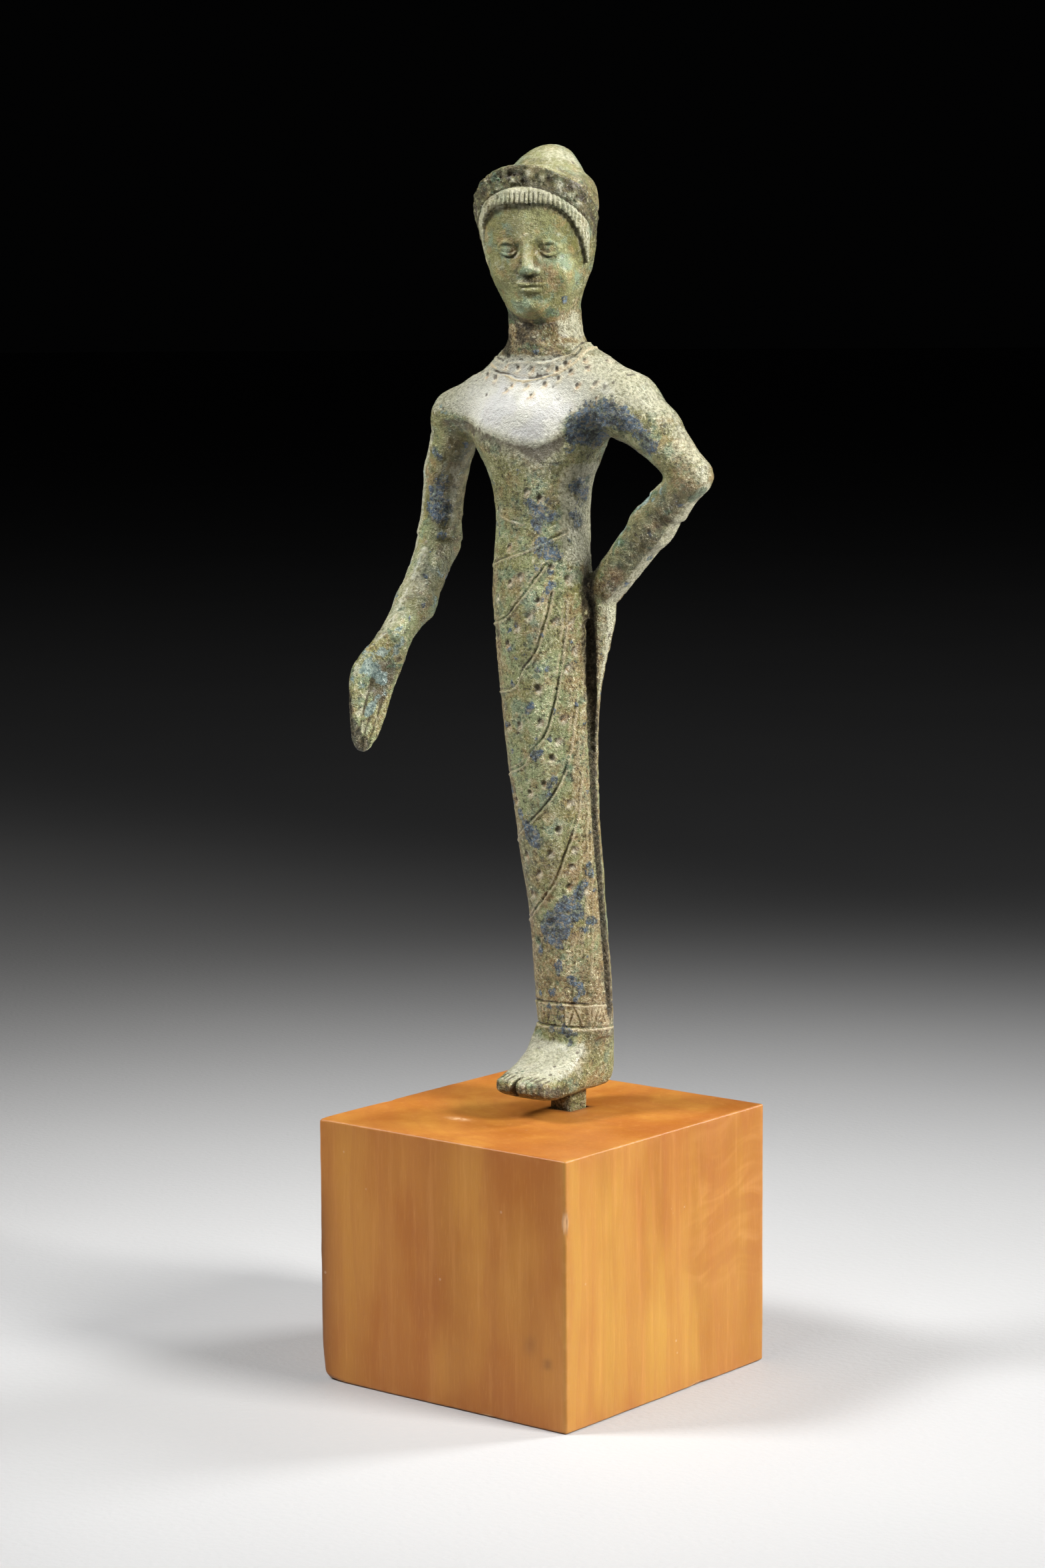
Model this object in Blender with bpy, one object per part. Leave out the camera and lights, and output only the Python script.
"""Standing woman, a small solid-cast bronze, on its wooden mount block.

Units are millimetres in the tables below and metres in the scene.  The origin
is the middle of the block's underside, +Z is up and the woman faces -Y, so her
own left is +X.  The bronze is one casting: body, head, arms, feet and the
square tang under the feet, which stands in a socket in the block.
"""

import math

import bmesh
import bpy
from mathutils import Vector

MM = 0.001

# ---------------------------------------------------------------- wooden block
BLOCK_X = 50.0
BLOCK_Y = 52.0
BLOCK_Z = 42.5
BLOCK_EDGE = 0.35         # rounded edges
SOCKET_DEPTH = 9.0
SOCKET_PLAY = 0.3         # clear space round the tang

# ------------------------------------------------------------------ the casting
SOLE_Z = 45.5             # underside of the feet, 3 mm above the wood
TANG_X = 4.0
TANG_Y = 4.3
TANG_CENTRE = (1.5, 4.8)
TANG_FOOT = 8.0           # how far the tang goes into the wood

# dressed body: height, centre x, centre y, half width, half depth
BODY = (
    (54.5, 1.9, 6.4, 6.1, 5.2),      # ankles, under the hem
    (60.0, 1.8, 6.0, 6.4, 5.4),      # hem
    (74.0, 1.6, 4.7, 6.4, 5.4),      # shin
    (88.5, 1.4, 2.5, 6.9, 5.8),      # knee
    (102.5, 1.2, 0.9, 7.5, 6.2),     # thigh
    (118.5, 1.0, -0.1, 8.2, 6.7),    # hip
    (127.0, 0.9, -0.6, 8.3, 6.6),    # belly
    (137.0, 0.7, -0.2, 7.9, 6.1),    # waist
    (143.5, 0.6, -0.3, 8.7, 6.5),    # ribs
    (149.5, 0.5, -0.4, 12.0, 7.0),   # bust
    (154.5, 0.4, -0.1, 14.6, 6.3),   # shoulders
    (158.5, 0.6, 0.2, 13.6, 5.4),
    (161.6, 0.8, 0.4, 11.2, 5.1),    # slope to the neck
    (163.8, 1.0, 0.4, 8.4, 5.2),
    (166.0, 1.1, 0.3, 6.0, 5.4),     # neck
    (172.0, 1.1, -0.3, 5.5, 5.5),
)
SHOULDER_TILT = 0.08      # her left shoulder is the higher one

# head, in its own frame: height over the chin line, set back, half width, half depth
HEAD_X, HEAD_Y, HEAD_Z = 1.2, -0.8, 169.0
HEAD_TURN = math.radians(20.0)       # she looks a little to her left
HEAD_LEAN = 0.10                     # and leans her head to her right
HEAD = (
    (-0.6, -3.6, 3.0, 3.0),          # under the chin
    (1.4, -1.9, 4.9, 5.6),           # chin
    (5.0, -0.6, 7.0, 7.8),
    (9.0, 0.2, 8.2, 9.0),
    (13.5, 0.6, 9.0, 9.7),
    (17.5, 0.8, 9.2, 9.9),           # brow, under the diadem
    (20.5, 1.2, 8.4, 9.2),
    (22.5, 2.6, 6.0, 7.0),
)
CAP = (                              # pointed cap, leaning back
    (15.0, 1.8, 8.2, 8.7),
    (19.5, 3.4, 7.4, 7.7),
    (23.0, 5.1, 5.6, 5.7),
    (25.5, 6.6, 3.5, 3.5),
    (26.7, 7.4, 1.4, 1.4),
)
FACE_TURN = math.radians(6.5)        # face and diadem turn this much more than the skull
# the diadem: an upright band that climbs from the ears to its peak over the brow
DIADEM = dict(height=13.6, rise=8.0, fall=1.5, back=0.9, half_width=8.7, half_depth=9.3,
              band=2.4, narrower=0.8, thick=0.95, flare=0.16)
NOSE = ((-8.8, 12.8, 0.8), (-9.9, 7.9, 1.1))    # depth, height, radius

# limbs: points (x, y, z, radius)
RIGHT_ARM = (
    (-11.5, 0.3, 155.2, 4.7),
    (-16.8, 0.2, 153.6, 4.3),
    (-19.6, 0.5, 144.5, 3.35),
    (-21.6, 0.9, 133.0, 3.25),
    (-21.7, -4.8, 123.6, 3.0),
    (-22.0, -10.0, 118.2, 2.5),
)
LEFT_ARM = (
    (10.4, 0.9, 158.2, 4.9),
    (16.6, 0.9, 155.3, 5.0),
    (21.6, 1.3, 151.6, 4.0),
    (28.2, 1.8, 144.8, 2.95),
    (20.2, 2.4, 136.9, 3.3),
    (10.8, 3.2, 127.2, 3.0),
)
# flat hand held out, palm forward and inward:
# distance from the wrist, shift to the thumb's side, half width, half thickness
HAND_ROOT, HAND_TIP = (-22.0, -10.0, 118.2), (-23.2, -16.6, 100.4)
HAND_FACES = math.radians(55.0)
HAND = (
    (0.0, 0.0, 2.5, 2.3),
    (3.4, 0.8, 3.5, 1.9),
    (7.0, 1.5, 3.8, 1.6),
    (11.0, 1.2, 3.3, 1.4),
    (15.0, 0.6, 2.5, 1.25),
    (17.6, 0.4, 1.6, 1.0),
    (18.8, 0.3, 0.7, 0.5),
)
# hand at the hip and the drapery bunched under it: height, x, y, half across, half along y
BUNCH = (
    (127.0, 10.2, 3.2, 1.8, 2.2),
    (122.0, 10.2, 3.0, 1.9, 2.3),
    (116.0, 9.4, 2.9, 1.3, 2.0),
    (109.0, 8.3, 2.9, 1.0, 1.7),
    (96.0, 7.1, 4.0, 0.9, 1.4),
    (80.0, 6.5, 5.8, 0.8, 1.3),
    (58.0, 6.8, 8.0, 0.8, 1.3),
)
# deep crease in front of the bunch, on the body's surface: height, half width, depth
CREASE_ANGLE = math.radians(9.0)     # behind her left side
CREASE = (
    (59.0, 0.5, 0.7),
    (80.0, 0.6, 0.9),
    (104.0, 0.75, 1.1),
    (116.0, 1.05, 1.3),
    (122.0, 1.0, 1.1),
)
# feet side by side: y, half width, top height, underside
FEET = (
    (11.7, 3.8, 57.0, 46.0),         # heels
    (10.2, 5.0, 58.0, 45.5),
    (5.0, 5.5, 58.0, 45.5),
    (2.6, 5.7, 56.2, 45.5),          # instep
    (0.8, 5.7, 53.3, 45.5),
    (-1.6, 5.7, 51.2, 45.5),
    (-4.6, 5.5, 50.0, 45.5),
    (-7.4, 4.7, 49.4, 46.2),         # toes
    (-9.3, 3.4, 49.0, 47.1),
)
FEET_X = 1.4
TOE_PARTING = dict(width=0.9, depth=2.2)

RING = 40                 # points round a section
FINE = 0.55               # size of the cast surface's cells
TRIANGLES = 7600          # of the finished casting


def clear_scene():
    for thing in list(bpy.data.objects):
        bpy.data.objects.remove(thing, do_unlink=True)


def material(name, colour, roughness, metallic):
    made = bpy.data.materials.new(name)
    made.use_nodes = True
    shader = made.node_tree.nodes["Principled BSDF"]
    shader.inputs["Base Color"].default_value = (*colour, 1.0)
    shader.inputs["Roughness"].default_value = roughness
    shader.inputs["Metallic"].default_value = metallic
    made.diffuse_color = (*colour, 1.0)
    return made


def smooth_rows(rows, steps):
    """The rows with steps more between each two, on a Catmull-Rom curve."""
    out = []
    last = len(rows) - 1
    for i in range(last):
        p0, p1, p2, p3 = rows[max(i - 1, 0)], rows[i], rows[i + 1], rows[min(i + 2, last)]
        for k in range(steps):
            t = k / steps
            out.append(tuple(
                0.5 * (2 * b + (c - a) * t + (2 * a - 5 * b + 4 * c - d) * t * t
                       + (3 * b - a - 3 * c + d) * t ** 3)
                for a, b, c, d in zip(p0, p1, p2, p3)))
    out.append(tuple(rows[last]))
    return out


def ring(centre, across, along, ru, rv, count=RING, squareness=2.0):
    """A closed section: an ellipse, or squarer as squareness rises."""
    points = []
    for k in range(count):
        a = 2 * math.pi * k / count
        c, s = math.cos(a), math.sin(a)
        cu = math.copysign(abs(c) ** (2.0 / squareness), c)
        sv = math.copysign(abs(s) ** (2.0 / squareness), s)
        points.append(centre + across * (ru * cu) + along * (rv * sv))
    return points


def loft(bm, rings):
    """Skin the rings, which run the same way round, and cap both ends."""
    made = [[bm.verts.new(p * MM) for p in points] for points in rings]
    for low, high in zip(made, made[1:]):
        count = len(low)
        for k in range(count):
            n = (k + 1) % count
            bm.faces.new((low[k], low[n], high[n], high[k]))
    bm.faces.new(list(reversed(made[0])))
    bm.faces.new(made[-1])


def limb(bm, start, end):
    """A tapered length of arm with round ends."""
    a, b = Vector(start[:3]), Vector(end[:3])
    ra, rb = start[3], end[3]
    way = (b - a).normalized()
    side = way.cross(Vector((0, 1, 0))).normalized()
    other = way.cross(side)
    rings = []
    for k in range(6):
        t = math.radians(-84 + 84 * k / 5)
        rings.append(ring(a + way * (ra * math.sin(t)), other, side, ra * math.cos(t), ra * math.cos(t), 20))
    for k in range(6):
        t = math.radians(84 * k / 5)
        rings.append(ring(b + way * (rb * math.sin(t)), other, side, rb * math.cos(t), rb * math.cos(t), 20))
    loft(bm, [list(reversed(r)) for r in rings])


def body(bm):
    rings = []
    for z, x, y, half_x, half_y in smooth_rows(BODY, 8):
        lift = SHOULDER_TILT * max(0.0, min(1.0, (z - 146.0) / 8.0)) * max(0.0, min(1.0, (168.0 - z) / 4.0))
        section = ring(Vector((x, y, z)), Vector((1, 0, lift)), Vector((0, 1, 0)), half_x, half_y,
                       squareness=2.15)
        rings.append(section)
    loft(bm, rings)


def head_place(side, back, up):
    """A point given in the turned head's own frame."""
    c, s = math.cos(HEAD_TURN), math.sin(HEAD_TURN)
    side -= HEAD_LEAN * (min(up, 14.0) - 5.0)
    return Vector((HEAD_X + side * c - back * s, HEAD_Y + side * s + back * c, HEAD_Z + up))


def face_place(side, back, up):
    """The same for the face and the diadem, which turn a little more than the skull."""
    c, s = math.cos(FACE_TURN), math.sin(FACE_TURN)
    ahead = 0.6 - back
    return head_place(side * c + ahead * s, 0.6 + side * s - ahead * c, up)


def head(bm):
    side = head_place(1, 0, 0) - head_place(0, 0, 0)
    back = head_place(0, 1, 0) - head_place(0, 0, 0)
    for rows in (HEAD, CAP):
        loft(bm, [ring(head_place(0, set_back, up), side, back, half_w, half_d)
                  for up, set_back, half_w, half_d in smooth_rows(rows, 6)])
    # the nose, a plain ridge
    (d0, z0, r0), (d1, z1, r1) = NOSE
    limb(bm, (*face_place(0, d0, z0), r0), (*face_place(0, d1, z1), r1))
    # the diadem
    side = face_place(1, 0, 0) - face_place(0, 0, 0)
    back = face_place(0, 1, 0) - face_place(0, 0, 0)
    d = DIADEM
    count = 44
    bands = []
    for k in range(count):
        t = 2 * math.pi * k / count
        c, front = math.cos(t), -math.sin(t)
        up = d["height"] + (d["rise"] if front > 0 else d["fall"]) * front
        full = max(0.0, min(1.0, 0.9 + 1.6 * front))          # lower and thinner behind
        half = (d["band"] - d["narrower"] * max(front, 0.0)) * (0.62 + 0.38 * full)
        thick = d["thick"] * (0.55 + 0.45 * full)
        middle = face_place(d["half_width"] * c, d["back"] - d["half_depth"] * front, up)
        out = (side * c - back * front).normalized()
        bands.append(ring(middle, out, Vector((0, 0, 1)) + out * d["flare"], thick, half, 10, 2.6))
    made = [[bm.verts.new(p * MM) for p in points] for points in bands]
    for one, two in zip(made, made[1:] + made[:1]):
        for k in range(10):
            n = (k + 1) % 10
            bm.faces.new((one[n], one[k], two[k], two[n]))


def flat_hand(bm):
    root, tip = Vector(HAND_ROOT), Vector(HAND_TIP)
    way = (tip - root).normalized()
    faces = Vector((math.sin(HAND_FACES), -math.cos(HAND_FACES), 0.0))
    faces = (faces - way * faces.dot(way)).normalized()
    across = way.cross(faces)
    rings = []
    for along, shift, half_w, half_t in smooth_rows(HAND, 5):
        rings.append(ring(root + way * along + across * shift, across, faces, half_w, half_t, 28, 2.2))
    loft(bm, [list(reversed(r)) for r in rings])


def bunch(bm):
    rows = smooth_rows(BUNCH, 8)
    rings = [ring(Vector((x, y, z)), Vector((0.87, 0.5, 0)), Vector((-0.5, 0.87, 0)), rx, ry, 16)
             for z, x, y, rx, ry in reversed(rows)]
    loft(bm, rings)


def crease():
    """The cutter of the long crease beside the bunch, following the body."""
    bm = bmesh.new()
    sections = smooth_rows(BODY, 8)
    rings = []
    for z, half_w, depth in smooth_rows(CREASE, 8):
        low = max((row for row in sections if row[0] <= z), key=lambda row: row[0])
        high = min((row for row in sections if row[0] > z), key=lambda row: row[0])
        t = (z - low[0]) / (high[0] - low[0])
        _, x, y, half_x, half_y = (a + (b - a) * t for a, b in zip(low, high))
        c, s = math.cos(CREASE_ANGLE), math.sin(CREASE_ANGLE)
        out = Vector((c / half_x, s / half_y, 0)).normalized()
        on_skin = Vector((x + half_x * c, y + half_y * s, z))
        rings.append(ring(on_skin, out, Vector((-out.y, out.x, 0)), depth, half_w, 12))
    loft(bm, rings)
    made = new_object("crease_cutter", bm)
    made.hide_render = True
    made.display_type = "WIRE"
    return made


def feet(bm):
    rings = []
    for y, half_w, top, low in smooth_rows(FEET, 6):
        middle = Vector((FEET_X, y, (top + low) / 2))
        rings.append(ring(middle, Vector((1, 0, 0)), Vector((0, 0, 1)), half_w, (top - low) / 2, 28, 3.6))
    loft(bm, rings)


def new_object(name, bm, finish=None):
    bmesh.ops.recalc_face_normals(bm, faces=bm.faces[:])
    mesh = bpy.data.meshes.new(name)
    bm.to_mesh(mesh)
    bm.free()
    made = bpy.data.objects.new(name, mesh)
    bpy.context.scene.collection.objects.link(made)
    if finish:
        mesh.materials.append(finish)
    return made


def box(bm, low, high):
    corners = bmesh.ops.create_cube(bm, size=1.0)["verts"]
    for v in corners:
        v.co = Vector([(low[i] if v.co[i] < 0 else high[i]) * MM for i in range(3)])
    return corners


def guide(name, low, high):
    """A box that another piece's Boolean uses, not a part of the model."""
    bm = bmesh.new()
    box(bm, low, high)
    made = new_object(name, bm)
    made.hide_render = True
    made.display_type = "WIRE"
    return made


def boolean(target, other, operation):
    step = target.modifiers.new(other.name, "BOOLEAN")
    step.operation = operation
    step.solver = "EXACT"
    step.object = other


def build_block():
    bm = bmesh.new()
    box(bm, (-BLOCK_X / 2, -BLOCK_Y / 2, 0.0), (BLOCK_X / 2, BLOCK_Y / 2, BLOCK_Z))
    block = new_object("wood_block", bm, material("pear_wood", (0.52, 0.24, 0.075), 0.42, 0.0))
    edges = block.modifiers.new("rounded_edges", "BEVEL")
    edges.width = BLOCK_EDGE * MM
    edges.segments = 2
    cx, cy = TANG_CENTRE
    hx, hy = TANG_X / 2 + SOCKET_PLAY, TANG_Y / 2 + SOCKET_PLAY
    socket = guide("socket_cutter", (cx - hx, cy - hy, BLOCK_Z - SOCKET_DEPTH),
                   (cx + hx, cy + hy, BLOCK_Z + 1.0))
    boolean(block, socket, "DIFFERENCE")
    return block


def build_figure():
    bm = bmesh.new()
    body(bm)
    head(bm)
    for arm in (RIGHT_ARM, LEFT_ARM):
        for start, end in zip(arm, arm[1:]):
            limb(bm, start, end)
    flat_hand(bm)
    bunch(bm)
    feet(bm)
    figure = new_object("figure", bm, material("patinated_bronze", (0.20, 0.21, 0.12), 0.55, 0.65))

    parting = guide("toe_parting_cutter",
                    (FEET_X - TOE_PARTING["width"] / 2, FEET[-1][0] - 3.0, SOLE_Z - 1.0),
                    (FEET_X + TOE_PARTING["width"] / 2, FEET[-1][0] + TOE_PARTING["depth"], 52.0))

    cast = figure.modifiers.new("one_casting", "REMESH")
    cast.mode = "VOXEL"
    cast.voxel_size = FINE * MM
    cast.use_smooth_shade = True
    soft = figure.modifiers.new("soft_joins", "SMOOTH")
    soft.factor = 0.5
    soft.iterations = 3
    boolean(figure, parting, "DIFFERENCE")
    boolean(figure, crease(), "DIFFERENCE")
    fewer = figure.modifiers.new("fewer_faces", "DECIMATE")
    fewer.decimate_type = "COLLAPSE"
    fewer.use_collapse_triangulate = True
    deps = bpy.context.evaluated_depsgraph_get()
    fewer.show_viewport = False
    deps.update()
    dense = figure.evaluated_get(deps)
    mesh = dense.to_mesh()
    triangles = sum(len(face.vertices) - 2 for face in mesh.polygons)
    dense.to_mesh_clear()
    fewer.show_viewport = True
    fewer.ratio = min(1.0, TRIANGLES / triangles)

    cx, cy = TANG_CENTRE
    tang = guide("tang_joiner", (cx - TANG_X / 2, cy - TANG_Y / 2, BLOCK_Z - TANG_FOOT),
                 (cx + TANG_X / 2, cy + TANG_Y / 2, SOLE_Z + 4.0))
    boolean(figure, tang, "UNION")
    return figure


def main():
    clear_scene()
    build_block()
    build_figure()


main()
